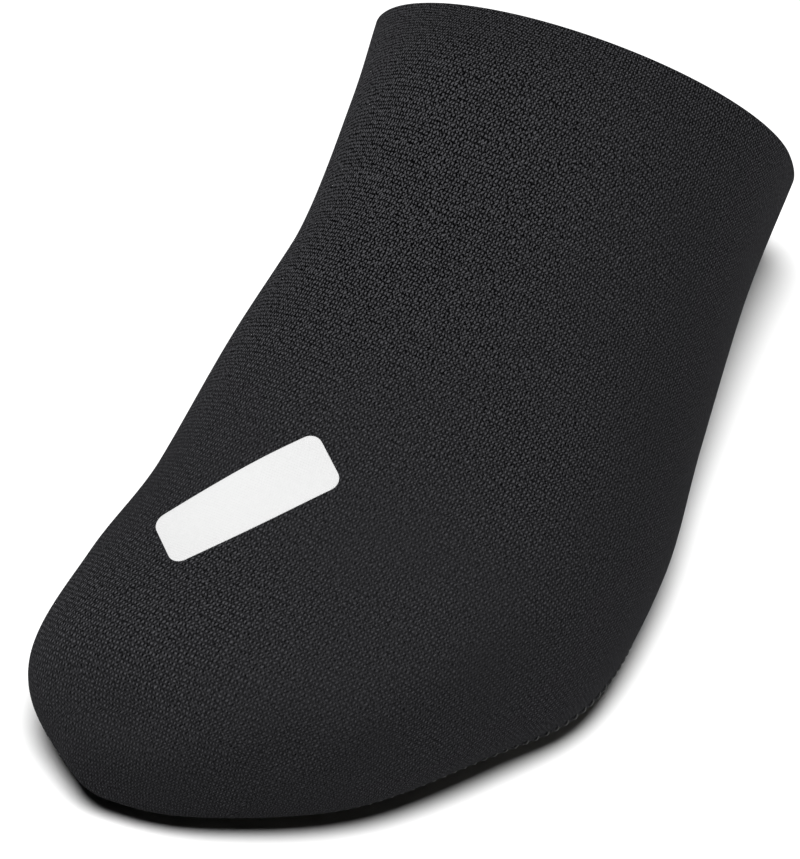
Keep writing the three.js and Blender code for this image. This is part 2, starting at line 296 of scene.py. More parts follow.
def seam_line(hand, grow, count):
    """Places and shares around of one side of the seam, evenly spaced from its front to the collar, with the
    panel grown by a width along the surface."""
    turns = np.linspace(0, math.pi / 2, SEAM_FRONT_STEPS)[:-1]
    place = np.concatenate([PANEL_IS_FULL - (PANEL_IS_FULL - PANEL_STARTS) * np.cos(turns),
                            np.linspace(PANEL_IS_FULL, LAST_PLACE, SEAM_SIDE_STEPS)])
    around = around_of_out(place, hand, seam_out(place, hand))
    if grow:
        place, around = moved_on_last(place, around, hand, grow)
        around[0] = 1
        place[-1] = LAST_PLACE
    lengths = lengths_along(on_last(place, -hand * around))
    even = np.linspace(0, lengths[-1], count)
    return np.interp(even, lengths, place), np.interp(even, lengths, around)


def soft_step(low, high, value):
    t = np.clip((value - low) / (high - low), 0, 1)
    return t * t * (3 - 2 * t)


def unit(vectors):
    return vectors / np.maximum(np.linalg.norm(vectors, axis=-1, keepdims=True), 1e-12)


def normals_of(points, faces):
    """Vertex normals of a mesh of triangles and quads, weighted by area."""
    normals = np.zeros_like(points)
    for face in faces:
        if not len(face):
            continue
        corners = points[face]
        across = corners[:, 2] - corners[:, 0]
        other = corners[:, -1] - corners[:, 1] if face.shape[1] == 4 else corners[:, 1] - corners[:, 0]
        cross = np.cross(across, other) if face.shape[1] == 4 else np.cross(other, across)
        for corner in range(face.shape[1]):
            np.add.at(normals, face[:, corner], cross)
    return unit(normals)


def mesh_object(name, points, faces, materials, uv=None, material_of=None, smooth=True):
    """An object from arrays of points and faces. uv holds a pair for each point, in millimetres of cloth."""
    mesh = bpy.data.meshes.new(name)
    mesh.from_pydata(points.tolist(), [], [face for group in faces for face in group.tolist()])
    for material in materials:
        mesh.materials.append(material)
    if uv is not None:
        corners = np.empty(len(mesh.loops), np.int32)
        mesh.loops.foreach_get("vertex_index", corners)
        layer = mesh.uv_layers.new(name="cloth")
        layer.data.foreach_set("uv", uv[corners].astype(np.float32).ravel())
    if material_of is not None:
        mesh.polygons.foreach_set("material_index", material_of.astype(np.int32))
    mesh.polygons.foreach_set("use_smooth", np.full(len(mesh.polygons), smooth))
    mesh.validate()
    mesh.update()
    made = bpy.data.objects.new(name, mesh)
    bpy.context.scene.collection.objects.link(made)
    return made


def grid_faces(index):
    """Quads between the rows of a table of point numbers, and triangles where two corners are one point."""
    a, b, c, d = index[:-1, :-1], index[:-1, 1:], index[1:, 1:], index[1:, :-1]
    quads = np.stack([a, b, c, d], -1).reshape(-1, 4)
    whole = (quads[:, 0] != quads[:, 1]) & (quads[:, 2] != quads[:, 3])
    return [quads[~whole][:, [0, 2, 3]], quads[whole]]


ROLL_TURNS = np.linspace(0, math.pi, ROLL_STEPS + 1)[1:-1]


def edge_roll(points, normals, loop, walls, rolls, first):
    """A round edge from an outer to an inner surface along a closed loop of point numbers, as far out as its
    roll. Gives its new points, the first of them numbered first, and the table of all its point numbers but
    the inner ones."""
    at = points[loop]
    normal = normals[loop]
    tangent = unit(np.roll(at, -1, 0) - np.roll(at, 1, 0))
    outward = unit(np.cross(tangent, normal))
    radius = walls[:, None] / 2
    centre = at - normal * radius
    rings = [centre + radius * normal * math.cos(turn) + rolls[:, None] * outward * math.sin(turn)
             for turn in ROLL_TURNS]
    numbers = first + np.arange(len(rings) * len(loop)).reshape(len(rings), -1)
    return np.concatenate(rings), np.vstack([loop, numbers])


def shell(points, outer_faces, walls, rolls, loops):
    """A closed shell of cloth: the outer surface, an inner one under it, and round edges along the loops.
    Gives points, faces, the outer point that each point belongs to, how far over the edge it lies, and how
    many faces are outside."""
    normals = normals_of(points, outer_faces)
    count = len(points)
    parts = [points, points - normals * walls[:, None]]
    sources = [np.arange(count), np.arange(count)]
    over = [np.zeros(2 * count)]
    faces = [*outer_faces]
    made = 2 * count
    for loop in loops:
        ring_points, numbers = edge_roll(points, normals, loop, walls[loop], rolls[loop], made)
        made += len(ring_points)
        parts.append(ring_points)
        sources.append(np.tile(loop, len(ROLL_TURNS)))
        over.append((ROLL_TURNS[:, None] * walls[loop] / 2).ravel())
        table = np.vstack([numbers, loop + count])
        table = np.hstack([table, table[:, :1]])
        faces += [f[:, ::-1] for f in grid_faces(table)]
    outside = sum(len(f) for f in faces)
    faces += [f[:, ::-1] + count for f in outer_faces]
    return np.concatenate(parts), faces, np.concatenate(sources), np.concatenate(over), outside


def flat_cloth(points, index):
    """Lays the cloth flat with the least stretch, in metres, with the ridge's rear stretch along V.
    Every few rows and columns of the table of point numbers are laid, and the rest follow between them."""
    coarse = index[::PATTERN_STEP, ::PATTERN_STEP]
    used, number = np.unique(coarse, return_inverse=True)
    number = number.reshape(coarse.shape)
    faces = grid_faces(number)
    flat = laid_flat(points[used], faces)
    ridge = number[:, number.shape[1] // 2]
    real = sum(area_of(points[used][group]).sum() for group in faces)
    drawn = sum(area_of(np.pad(flat, ((0, 0), (0, 1)))[group]).sum() for group in faces)
    flat = (flat - flat[ridge[-1]]) * math.sqrt(real / drawn)
    back = unit(flat[ridge[-1]] - flat[ridge[len(ridge) // 2]])
    flat = np.stack([flat @ np.array([back[1], -back[0]]), flat @ back], -1)[number]
    rows = np.arange(index.shape[0]) / PATTERN_STEP
    columns = np.arange(index.shape[1]) / PATTERN_STEP
    r = np.minimum(rows.astype(int), flat.shape[0] - 2)
    c = np.minimum(columns.astype(int), flat.shape[1] - 2)
    u, v = (rows - r)[:, None, None], (columns - c)[None, :, None]
    near = flat[r][:, c] * (1 - v) + flat[r][:, c + 1] * v
    far = flat[r + 1][:, c] * (1 - v) + flat[r + 1][:, c + 1] * v
    uv = np.empty((len(points), 2))
    uv[index] = near * (1 - u) + far * u
    return uv


def laid_flat(points, faces):
    """Unwraps a sheet of quads and triangles, at any size and turned any way."""
    mesh = bpy.data.meshes.new("pattern")
    mesh.from_pydata(points.tolist(), [], [face for group in faces for face in group.tolist()])
    made = bpy.data.objects.new("pattern", mesh)
    bpy.context.scene.collection.objects.link(made)
    bpy.context.view_layer.objects.active = made
    made.select_set(True)
    bpy.ops.object.mode_set(mode="EDIT")
    bpy.ops.mesh.select_all(action="SELECT")
    bpy.ops.uv.unwrap(method="MINIMUM_STRETCH", margin=0.0)
    bpy.ops.object.mode_set(mode="OBJECT")
    corners = np.empty(len(mesh.loops), np.int32)
    mesh.loops.foreach_get("vertex_index", corners)
    flat = np.empty(len(mesh.loops) * 2, np.float32)
    mesh.uv_layers.active.data.foreach_get("uv", flat)
    uv = np.zeros((len(points), 2))
    uv[corners] = flat.reshape(-1, 2)
    bpy.data.objects.remove(made)
    bpy.data.meshes.remove(mesh)
    return uv


def area_of(corners):
    """Areas of triangles or quads."""
    if not len(corners):
        return np.zeros(1)
    across = corners[:, 2] - corners[:, 0]
    other = corners[:, -1] - corners[:, 1]
    return np.linalg.norm(np.cross(across, other), axis=-1) / 2


def upper_places():
    """Places and shares around of the knit's outer surface."""
    grow = UPPER_WALL / 2 + SEAM_GAP / 2
    count = SEAM_FINENESS * ROWS_BEYOND + 1
    seams = {hand: seam_line(hand, grow, count) for hand in (OUTER, INNER)}
    start = seams[OUTER][0][0]
    fine = np.linspace(0, LAST_PLACE, FINE_PLACES)
    lengths = lengths_along(on_last(fine, np.zeros_like(fine)))
    at_start = np.interp(start, fine, lengths)
    even = np.concatenate([np.linspace(0, at_start, ROWS_TO_SEAM + 1),
                           np.linspace(at_start, lengths[-1], ROWS_BEYOND + 1)[1:]])
    on_ridge = np.interp(even, lengths, fine)
    columns = np.linspace(-1, 1, 2 * COLUMNS_EACH_SIDE + 1)
    edges = {}
    for hand in (OUTER, INNER):
        edges[hand] = np.concatenate([on_ridge[:ROWS_TO_SEAM], seams[hand][0][::SEAM_FINENESS]])
        edges[hand][ROWS_TO_SEAM] = start
    share = soft_step(EDGE_BLEND, 1, np.abs(columns))[None]
    on_edge = np.where(columns[None] < 0, edges[OUTER][:, None], edges[INNER][:, None])
    place = on_ridge[:, None] * (1 - share) + on_edge * share
    reach = np.ones_like(place)
    for hand, chosen in ((OUTER, columns < 0), (INNER, columns >= 0)):
        flat = place[ROWS_TO_SEAM + 1:, chosen].ravel()
        reach[ROWS_TO_SEAM + 1:, chosen] = np.interp(flat, *seams[hand]).reshape(ROWS_BEYOND, -1)
    around = columns[None] * reach
    # The rim's round edge needs its room before the collar's plane
    before = on_last(LAST_PLACE - RIM_STEP, around[-1])
    speed = np.linalg.norm(on_last(LAST_PLACE, around[-1]) - before, axis=-1) / RIM_STEP
    room = (HEM_ROLL / speed)[None]
    place = place - room * soft_step(LAST_PLACE - 1, LAST_PLACE, place)
    return place, around


# Soft troughs and ridges of the knit over the last. Along the outer side it goes over the edge of the shoe's
# toe and then falls in a little towards the seam. The front of the toe has shallow dents.
FOLDS = [
    (2.40, -0.350, 0.85, 0.055, 0.35 * MM),
    (3.30, -0.375, 0.60, 0.055, 0.35 * MM),
    (4.20, -0.420, 0.50, 0.050, 0.25 * MM),
    (1.55, -0.350, 0.35, 0.070, -0.90 * MM),
    (2.30, -0.480, 0.60, 0.060, -1.20 * MM),
    (3.20, -0.485, 0.50, 0.055, -1.20 * MM),
    (4.05, -0.510, 0.45, 0.050, -0.80 * MM),
    (1.15, 0.200, 0.30, 0.120, -0.80 * MM),
    (1.50, 0.480, 0.25, 0.060, 0.35 * MM),
]

# Share of the way from seam to ridge over which the folds fade out towards the seam
FOLDS_END = 0.12

# How strongly the stitches stand out in colour, painted shade in the gaps between them included: most on the
# instep and the inner side, less at the collar, the toe and the outer side
STITCH_CONTRAST_PLACES = [
    (8.6, 0.10, 1.7, 0.80, 0.60),
    (5.9, 0.05, 1.3, 0.28, 1.20),
    (6.5, 0.40, 1.7, 0.28, 0.90),
    (2.3, 0.15, 0.8, 0.30, 0.40),
    (4.6, -0.30, 0.7, 0.12, 0.30),
]


def make_upper(knit, lining):
    place, around = upper_places()
    rows, columns = place.shape
    index = np.arange(rows * columns).reshape(rows, columns)
    index[0] = index[0, 0]
    index[:ROWS_TO_SEAM + 1, -1] = index[:ROWS_TO_SEAM + 1, 0]
    used, number = np.unique(index, return_inverse=True)
    index = number.reshape(rows, columns)
    points = on_last(place, around).reshape(-1, 3)[used]
    place_of = place.ravel()[used]
    faces = grid_faces(index)
    normals = normals_of(points, faces)
    if normals[index[rows // 2, columns // 2], 2] < 0:
        faces = [f[:, ::-1] for f in faces]
        normals = -normals
    to_seam = np.broadcast_to(1 - np.abs(np.linspace(-1, 1, columns)), place.shape).ravel()[used]
    folds = bumps(place_of, around.ravel()[used], FOLDS) * soft_step(0, FOLDS_END, to_seam)
    points = points + normals * folds[:, None]
    to_rim = (on_last(LAST_PLACE, 0.0) - points) @ COLLAR_AXIS
    walls = HEM_WALL + (UPPER_WALL - HEM_WALL) * soft_step(HEM_DEPTH - HEM_STEP, HEM_DEPTH, to_rim)
    loop = np.concatenate([index[-1], index[-2:ROWS_TO_SEAM - 1:-1, -1], index[ROWS_TO_SEAM + 1:-1, 0]])
    if edge_turns_in(points, normals, loop):
        loop = loop[::-1]
    uv = flat_cloth(points, index)
    rolls = walls / 2
    rolls[index[-1]] = HEM_ROLL
    all_points, all_faces, sources, over, outside = shell(points, faces, walls, rolls, [loop])
    total = sum(len(f) for f in all_faces)
    uv = uv[sources]
    uv[:, 1] += over
    upper = mesh_object("upper_knit", all_points, all_faces, [knit, lining], uv=uv / MM,
                        material_of=np.arange(total) >= outside)
    # How strongly the stitches' colour, with its painted shade between them, shows at each place
    add_shares(upper, "stitch_contrast", bumps(place_of, around.ravel()[used], STITCH_CONTRAST_PLACES)[sources])
    return upper, (points, faces)


def edge_turns_in(points, normals, loop):
    """Whether the edge's outward direction points into the cloth, so that the loop has to be turned round."""
    at = points[loop]
    tangent = unit(np.roll(at, -1, 0) - np.roll(at, 1, 0))
    outward = np.cross(tangent, normals[loop])
    rim = np.argmax(at @ COLLAR_AXIS)
    return outward[rim] @ COLLAR_AXIS < 0


def bumps(place, around, rows):
    """The sum of soft round bumps. Each has a place, a share around, a length in places, a width in shares
    and a height."""
    height = np.zeros_like(place)
    for at_place, at_around, long, wide, high in rows:
        height += high * np.exp(-((place - at_place) / long) ** 2 - ((around - at_around) / wide) ** 2)
    return height


def add_shares(made, name, values):
    """A number for each point, for the materials."""
    layer = made.data.attributes.new(name, "FLOAT", "POINT")
    layer.data.foreach_set("value", values.astype(np.float32))


def under_point(place, out):
    """A point on the underside at a share out, to the outer side where it is positive."""
    section = section_at(place)
    part = np.clip((np.abs(out) - section["flat"]) / (1 - section["flat"]), 0, 1)
    drop = (1 - part ** EDGE_ROUNDNESS) ** (1 / EDGE_ROUNDNESS)
    return on_plane(section, section["middle"] + out * section["half"], section["side"] * (1 - drop))


def cleat_outline(grow, count):
    """The opening's rounded rectangle, grown by a width, seen from above, as x and distance from the tip."""
    ball = section_at(np.array([float(BALL_ROW)]))
    middle = np.array([ball["middle"][0], CLEAT_FROM_TOE])
    corners = []
    for quarter, (across, along) in enumerate(((1, 1), (-1, 1), (-1, -1), (1, -1))):
        turn = (quarter + np.linspace(0, 1, count // 8)) * math.pi / 2
        centre = middle + np.array([across * (CLEAT_WIDTH / 2 - CLEAT_CORNER),
                                    along * (CLEAT_LENGTH / 2 - CLEAT_CORNER)])
        corners.append(centre + (CLEAT_CORNER + grow) * np.stack([np.cos(turn), np.sin(turn)], -1))
    outline = np.concatenate(corners + [corners[0][:1]])
    lengths = lengths_along(outline)
    even = np.linspace(0, lengths[-1], count, endpoint=False)
    return middle, np.stack([np.interp(even, lengths, outline[:, axis]) for axis in range(2)], -1)


def outline_at_angles(outline, middle, angles):
    """Where rays from the middle at these angles meet the outline."""
    off = outline - middle
    turn = np.unwrap(np.arctan2(off[:, 1], off[:, 0]))
    radius = np.linalg.norm(off, axis=1)
    turn = np.concatenate([turn - 2 * math.pi, turn, turn + 2 * math.pi])
    radius = np.tile(radius, 3)
    reach = np.interp(angles, turn, radius)
    return middle + reach[:, None] * np.stack([np.cos(angles), np.sin(angles)], -1)


def panel_outline():
    """The panel's outline as places and signed shares out: the seam, from the rear outer corner round the
    front."""
    grow = -(SOLE_WALL / 2 + SEAM_GAP / 2)
    sides = []
    for hand in (OUTER, INNER):
        place, around = seam_line(hand, grow, PANEL_SIDE_STEPS)
        sides.append((place, hand * out_of_around(place, hand, around)))
    rear = np.linspace(-1, 1, PANEL_REAR_STEPS)[1:-1]
    place = np.concatenate([sides[0][0][::-1], sides[1][0][1:], np.full(len(rear), float(LAST_PLACE))])
    ends = (sides[1][1][-1], sides[0][1][-1])
    out = np.concatenate([sides[0][1][::-1], sides[1][1][1:], ends[0] + (ends[1] - ends[0]) * (rear + 1) / 2])
    # The rear edge's roll needs its room before the collar's plane
    behind = section_at(np.array([LAST_PLACE - RIM_STEP, float(LAST_PLACE)]))["y"]
    room = SOLE_WALL / 2 / ((behind[1] - behind[0]) / RIM_STEP)
    place = place - room * soft_step(LAST_PLACE - 0.5, LAST_PLACE, place)
    lengths = lengths_along(under_point(np.append(place, place[0]), np.append(out, out[0])))
    even = np.linspace(0, lengths[-1], PANEL_ROUND + 1)[:-1]
    return (np.interp(even, lengths, np.append(place, place[0])),
            np.interp(even, lengths, np.append(out, out[0])))


def make_panel(cloth):
    place, out = panel_outline()
    section = section_at(place)
    seen = np.stack([section["middle"] + out * section["half"], section["y"]], -1)
    middle, opening = cleat_outline(SOLE_WALL / 2, CLEAT_STEPS)
    off = seen - middle
    angles = np.unwrap(np.arctan2(off[:, 1], off[:, 0]))
    hole = outline_at_angles(opening, middle, angles)
    share = np.linspace(0, 1, PANEL_RINGS + 1)[:, None, None]
    flat = hole[None] * (1 - share) + seen[None] * share
    fine = np.linspace(0, LAST_PLACE, FINE_PLACES)
    at_place = np.interp(flat[..., 1], section_at(fine)["y"], fine)
    at = section_at(at_place)
    at_out = (flat[..., 0] - at["middle"]) / at["half"]
    points = under_point(at_place, at_out).reshape(-1, 3)
    index = np.arange(len(points)).reshape(flat.shape[:2])
    faces = grid_faces(np.hstack([index, index[:, :1]]))
    normals = normals_of(points, faces)
    if normals[:, 2].mean() > 0:
        faces = [f[:, ::-1] for f in faces]
        normals = -normals
    rim, mouth = index[-1], index[0]
    if edge_turns_in(points, normals, rim):
        rim = rim[::-1]
    else:
        mouth = mouth[::-1]
    walls = np.full(len(points), SOLE_WALL)
    uv = np.stack([flat[..., 0], flat[..., 1]], -1).reshape(-1, 2)
    all_points, all_faces, sources, _, _ = shell(points, faces, walls, walls / 2, [rim, mouth])
    return mesh_object("sole_panel", all_points, all_faces, [cloth], uv=uv[sources] / MM)


def tree_of(points, faces):
    """The cloth's outer surface, to find the nearest point on or to hit with rays."""
    return BVHTree.FromPolygons([Vector(p) for p in points],
                                [tuple(f) for group in faces for f in group.tolist()])


def seam_path(spacing):
    """Points of the whole seam, with the cloth's outward direction, the direction along the seam and the
    lengths along it.
    """
    sides = []
    for hand in (OUTER, INNER):
        place, around = seam_line(hand, 0.0, SEAM_PATH_STEPS)
        sides.append(np.stack([place, -hand * around], -1))
    line = np.concatenate([sides[0][::-1], sides[1][1:]])
    points = on_last(line[:, 0], line[:, 1])
    lengths = lengths_along(points)
    count = int(lengths[-1] / spacing)
    even = np.linspace(0, lengths[-1], count + 1)
    points = np.stack([np.interp(even, lengths, points[:, axis]) for axis in range(3)], -1)
    tangent = unit(np.gradient(points, axis=0))
    place = np.interp(even, lengths, line[:, 0])
    middle = section_at(place)
    down = unit(points - on_plane(middle, middle["middle"], middle["high"] * 0.5))
    normal = unit(down - tangent * (down * tangent).sum(-1, keepdims=True))
    return points, normal, tangent, even


def seam_frame(spacing, cloth):
    """The seam's points with normals taken from the cloth beside it, the directions to the panel and along
    the seam, and the lengths along it."""
    points, normal, tangent, even = seam_path(spacing)
    tree = tree_of(*cloth)
    near = []
    for point in points:
        near.append(np.array(tree.find_nearest(Vector(point))[1]))
    near = np.array(near)
    near = np.where((near * normal).sum(-1, keepdims=True) < 0, -near, near)
    near = unit(near - tangent * (near * tangent).sum(-1, keepdims=True))
    kernel = np.ones(9) / 9
    near = unit(np.stack([np.convolve(np.pad(near[:, i], 4, "edge"), kernel, "valid") for i in range(3)], -1))
    # A quarter of the way along, on the outer side, the panel lies towards -X
    to_panel = unit(np.cross(near, tangent))
    to_panel *= -np.sign(to_panel[len(points) // 4][0])
    return points, near, to_panel, tangent, even


def swept(sections, name, material, uv=None):
    """A closed tube through rings of points, with its ends closed."""
    rings, sides = sections.shape[:2]
    ends = sections[[0, -1]].mean(1)
    all_points = np.concatenate([sections.reshape(-1, 3), ends])
    index = np.arange(rings * sides).reshape(rings, sides)
    faces = grid_faces(np.hstack([index, index[:, :1]]))
    side = np.arange(sides)
    front = np.stack([np.full(sides, rings * sides), index[0, (side + 1) % sides], index[0]], -1)
    back = np.stack([np.full(sides, rings * sides + 1), index[-1], index[-1, (side + 1) % sides]], -1)
    return mesh_object(name, all_points, [front, back] + faces, [material], uv=uv)


SEAM_EDGE_STEP = STITCH_PITCH / 6
SEAM_EDGE_SIDES = 12
SEAM_EDGE_REACH = 0.80 * MM
SEAM_EDGE_SHIFT = 0.30 * MM
SEAM_EDGE_HIGH = 0.50 * MM
SEAM_EDGE_DEEP = 0.4 * MM
SEAM_EDGE_SUNK = 0.20 * MM


def make_seam_edge(material, cloth):
    """The knit's gathered edge at the seam: a low bead that bulges over the panel between the stitches."""
    points, normal, to_panel, _, along = seam_frame(SEAM_EDGE_STEP, cloth)
    puff = np.abs(np.sin(math.pi * along / STITCH_PITCH))[:, None, None]
    turn = np.linspace(0, 2 * math.pi, SEAM_EDGE_SIDES, endpoint=False)[None, :, None]
    across = np.cos(turn) * (SEAM_EDGE_REACH * (0.72 + 0.28 * puff)) + SEAM_EDGE_SHIFT * puff
    high = np.where(np.sin(turn) > 0, SEAM_EDGE_HIGH * (0.45 + 0.55 * puff), SEAM_EDGE_DEEP)
    up = np.sin(turn) * high - SEAM_EDGE_SUNK
    rings = points[:, None] + to_panel[:, None] * across + normal[:, None] * up
    uv_along = np.repeat(along[:, None], SEAM_EDGE_SIDES, 1)
    uv_across = np.broadcast_to(across[..., 0], uv_along.shape)
    uv = np.stack([uv_along, uv_across], -1).reshape(-1, 2)
    uv = np.concatenate([uv, uv[[0, -1]]]) / MM
    return swept(rings, "seam_edge", material, uv)


def tube_rings(centres, radius, sides, flat_up):
    """Rings of a thin tube through centres, drawn in at both ends."""
    tangent = unit(np.gradient(centres, axis=0))
    side = unit(np.cross(tangent, flat_up))
    up = np.cross(side, tangent)
    turn = np.linspace(0, 2 * math.pi, sides, endpoint=False)[None, :, None]
    share = np.linspace(-1, 1, len(centres))
    size = radius * np.sqrt(np.maximum(1 - share ** 6, 0.05))[:, None, None]
    return centres[:, None] + size * (np.cos(turn) * side[:, None] + np.sin(turn) * up[:, None])


def joined_tubes(name, tubes, material):
    """Many tubes of the same number of rings and sides as one mesh."""
    tubes = np.array(tubes)
    count, rings, sides, _ = tubes.shape
    ends = tubes[:, [0, -1]].mean(2)
    points = np.concatenate([tubes.reshape(count, -1, 3), ends], 1)
    one = np.arange(rings * sides).reshape(rings, sides)
    faces = grid_faces(np.hstack([one, one[:, :1]]))[1]
    side = np.arange(sides)
    front = np.stack([np.full(sides, rings * sides), one[0, (side + 1) % sides], one[0]], -1)
    back = np.stack([np.full(sides, rings * sides + 1), one[-1], one[-1, (side + 1) % sides]], -1)
    first = (np.arange(count) * points.shape[1])[:, None, None]
    groups = [(group[None] + first).reshape(-1, group.shape[1]) for group in (front, back, faces)]
    return mesh_object(name, points.reshape(-1, 3), groups, [material])


def make_seam_thread(material, cloth):
    """A stitch across the seam at each notch of its gathered edge."""
    points, normal, to_panel, tangent, _ = seam_frame(STITCH_PITCH / 2, cloth)
    tubes = []
    for i in range(2, len(points) - 2, 2):
        share = np.linspace(-1, 1, STITCH_RINGS)[:, None]
        centres = (points[i] + to_panel[i] * share * STITCH_REACH + tangent[i] * share * STITCH_SLANT
                   + normal[i] * (STITCH_HIGH * (1 - share ** 2) - STITCH_SUNK))
        tubes.append(tube_rings(centres, THREAD_RADIUS, THREAD_SIDES, normal[i]))
    return joined_tubes("seam_thread", tubes, material)


def camera_ray(pixel):
    """The camera's place and the direction through a pixel of the photograph."""
    back, right, up = camera_axes()
    across = (pixel[0] - OPTICAL_CENTRE[0]) / PIXELS_PER_METRE / CAMERA_DISTANCE
    rise = (OPTICAL_CENTRE[1] - pixel[1]) / PIXELS_PER_METRE / CAMERA_DISTANCE
    return CAMERA_TARGET + back * CAMERA_DISTANCE, (right * across + up * rise - back).normalized()


# The bar's ends lie on the line through these two pixels of the photograph
PRINT_ENDS = ((176, 536), (316, 464))
PRINT_LENGTH = 36 * MM
PRINT_WIDTH = 12.5 * MM
PRINT_CORNER = 2.5 * MM
PRINT_CORNER_STEPS = 8
PRINT_STEPS_LONG = 60
PRINT_STEPS_WIDE = 25
PRINT_REACH = 30 * MM
PRINT_PROUD = 0.12 * MM
PRINT_WALL = 0.16 * MM


def make_print(material, cloth):
    """A plain bar with round corners, printed on the toe."""
    tree = tree_of(*cloth)
    ends = [tree.ray_cast(*camera_ray(pixel))[0] for pixel in PRINT_ENDS]
    centre, normal, _, _ = tree.find_nearest((ends[0] + ends[1]) / 2)
    if normal.z < 0:
        normal = -normal
    along = (ends[1] - ends[0]).normalized()
    across = normal.cross(along).normalized()
    half_long = PRINT_LENGTH / 2
    turn = np.linspace(0, math.pi / 2, PRINT_CORNER_STEPS)
    corner = half_long - PRINT_CORNER + PRINT_CORNER * np.sin(turn)
    middle = np.linspace(PRINT_CORNER - half_long, half_long - PRINT_CORNER, PRINT_STEPS_LONG)[1:-1]
    at = np.concatenate([-corner[::-1], middle, corner])
    over = np.clip((np.abs(at) - (half_long - PRINT_CORNER)) / PRINT_CORNER, 0, 1)
    half_wide = PRINT_WIDTH / 2 - PRINT_CORNER * (1 - np.sqrt(1 - over ** 2))
    side = np.linspace(-1, 1, PRINT_STEPS_WIDE)[None] * half_wide[:, None]
    points = []
    for a, b in zip(np.repeat(at, PRINT_STEPS_WIDE), side.ravel()):
        from_above = centre + along * a + across * b + normal * PRINT_REACH
        hit, hit_normal, _, _ = tree.ray_cast(from_above, -normal)
        hit_normal *= math.copysign(1, hit_normal.dot(normal))
        points.append(hit + hit_normal * PRINT_PROUD)
    points = np.array(points)
    index = np.arange(len(points)).reshape(len(at), -1)
    faces = grid_faces(index)
    normals = normals_of(points, faces)
    if normals[index[len(at) // 2, PRINT_STEPS_WIDE // 2]] @ np.array(normal) < 0:
        faces = [f[:, ::-1] for f in faces]
        normals = -normals
    edge = np.concatenate([index[0], index[1:-1, -1], index[-1, ::-1], index[-2:0:-1, 0]])
    away = points[edge] - points.mean(0)
    tangent = np.roll(points[edge], -1, 0) - np.roll(points[edge], 1, 0)
    if (np.cross(tangent, normals[edge]) * away).sum() < 0:
        edge = edge[::-1]
    walls = np.full(len(points), PRINT_WALL)
    uv = np.stack([np.repeat(at, PRINT_STEPS_WIDE), side.ravel()], -1) / MM
    all_points, all_faces, sources, _, _ = shell(points, faces, walls, walls / 2, [edge])
    return mesh_object("print_mark", all_points, all_faces, [material], uv=uv[sources])


class Graph:
    """Short ways to make and join the nodes of one material."""

    def __init__(self, name):
        self.material = bpy.data.materials.new(name)
        self.material.use_nodes = True
        self.nodes = self.material.node_tree.nodes
        self.links = self.material.node_tree.links
        self.shader = self.nodes["Principled BSDF"]

    def put(self, socket, value):
        if isinstance(value, bpy.types.NodeSocket):
            self.links.new(value, socket)
        else:
            socket.default_value = value

    def math(self, operation, *values, clamp=False):
        node = self.nodes.new("ShaderNodeMath")
        node.operation = operation
        node.use_clamp = clamp
        for socket, value in zip(node.inputs, values):
            self.put(socket, value)
        return node.outputs[0]

    def noise(self, vector, scale, detail=2.0, rough=0.5):
        node = self.nodes.new("ShaderNodeTexNoise")
        self.put(node.inputs["Vector"], vector)
        self.put(node.inputs["Scale"], scale)
        self.put(node.inputs["Detail"], detail)
        self.put(node.inputs["Roughness"], rough)
        return node.outputs["Fac"]

    def mix(self, share, first, second):
        node = self.nodes.new("ShaderNodeMix")
        node.data_type = "RGBA"
        self.put(node.inputs["Factor"], share)
        for socket, value in ((node.inputs["A"], first), (node.inputs["B"], second)):
            chosen = [s for s in node.inputs if s.name == socket.name and s.type == "RGBA"][0]
            self.put(chosen, value)
        return [s for s in node.outputs if s.type == "RGBA"][0]

    def cloth(self):
        """U and V of the cloth, in millimetres."""
        node = self.nodes.new("ShaderNodeUVMap")
        node.uv_map = "cloth"
        apart = self.nodes.new("ShaderNodeSeparateXYZ")
        self.links.new(node.outputs[0], apart.inputs[0])
        return apart.outputs[0], apart.outputs[1], node.outputs[0]

    def place(self):
        node = self.nodes.new("ShaderNodeTexCoord")
        return node.outputs["Object"]

    def bump(self, height, distance):
        node = self.nodes.new("ShaderNodeBump")
        self.put(node.inputs["Height"], height)
        self.put(node.inputs["Distance"], distance)
        return node.outputs[0]


def grey(value, blue=0.0):
    return (value, value, value * (1 + blue), 1.0)


WALE_PITCH = 0.70  # millimetres of cloth across one column of stitches
COURSE_PITCH = 0.90  # and along one row
KNIT_WAVER = 1.1  # how far columns and rows waver, as a share of their pitch
KNIT_SHIFT = 0.9  # and how far single stitches lie off them
KNIT_UNEVEN = 2.6  # how much the stitches differ in height
KNIT_CONTRAST = 0.75
KNIT_PATCHES = 0.4  # how much of the contrast comes and goes in patches
KNIT_LEAST = 0.10  # the contrast where the stitches are softest
# KNIT_DARK is mostly painted shade in the gaps between the stitches; KNIT_LIGHT is the yarn
KNIT_DARK = (0.0004, 0.0004, 0.0005, 1.0)
KNIT_LIGHT = (0.0430, 0.0430, 0.0462, 1.0)
KNIT_RELIEF = 0.10 * MM


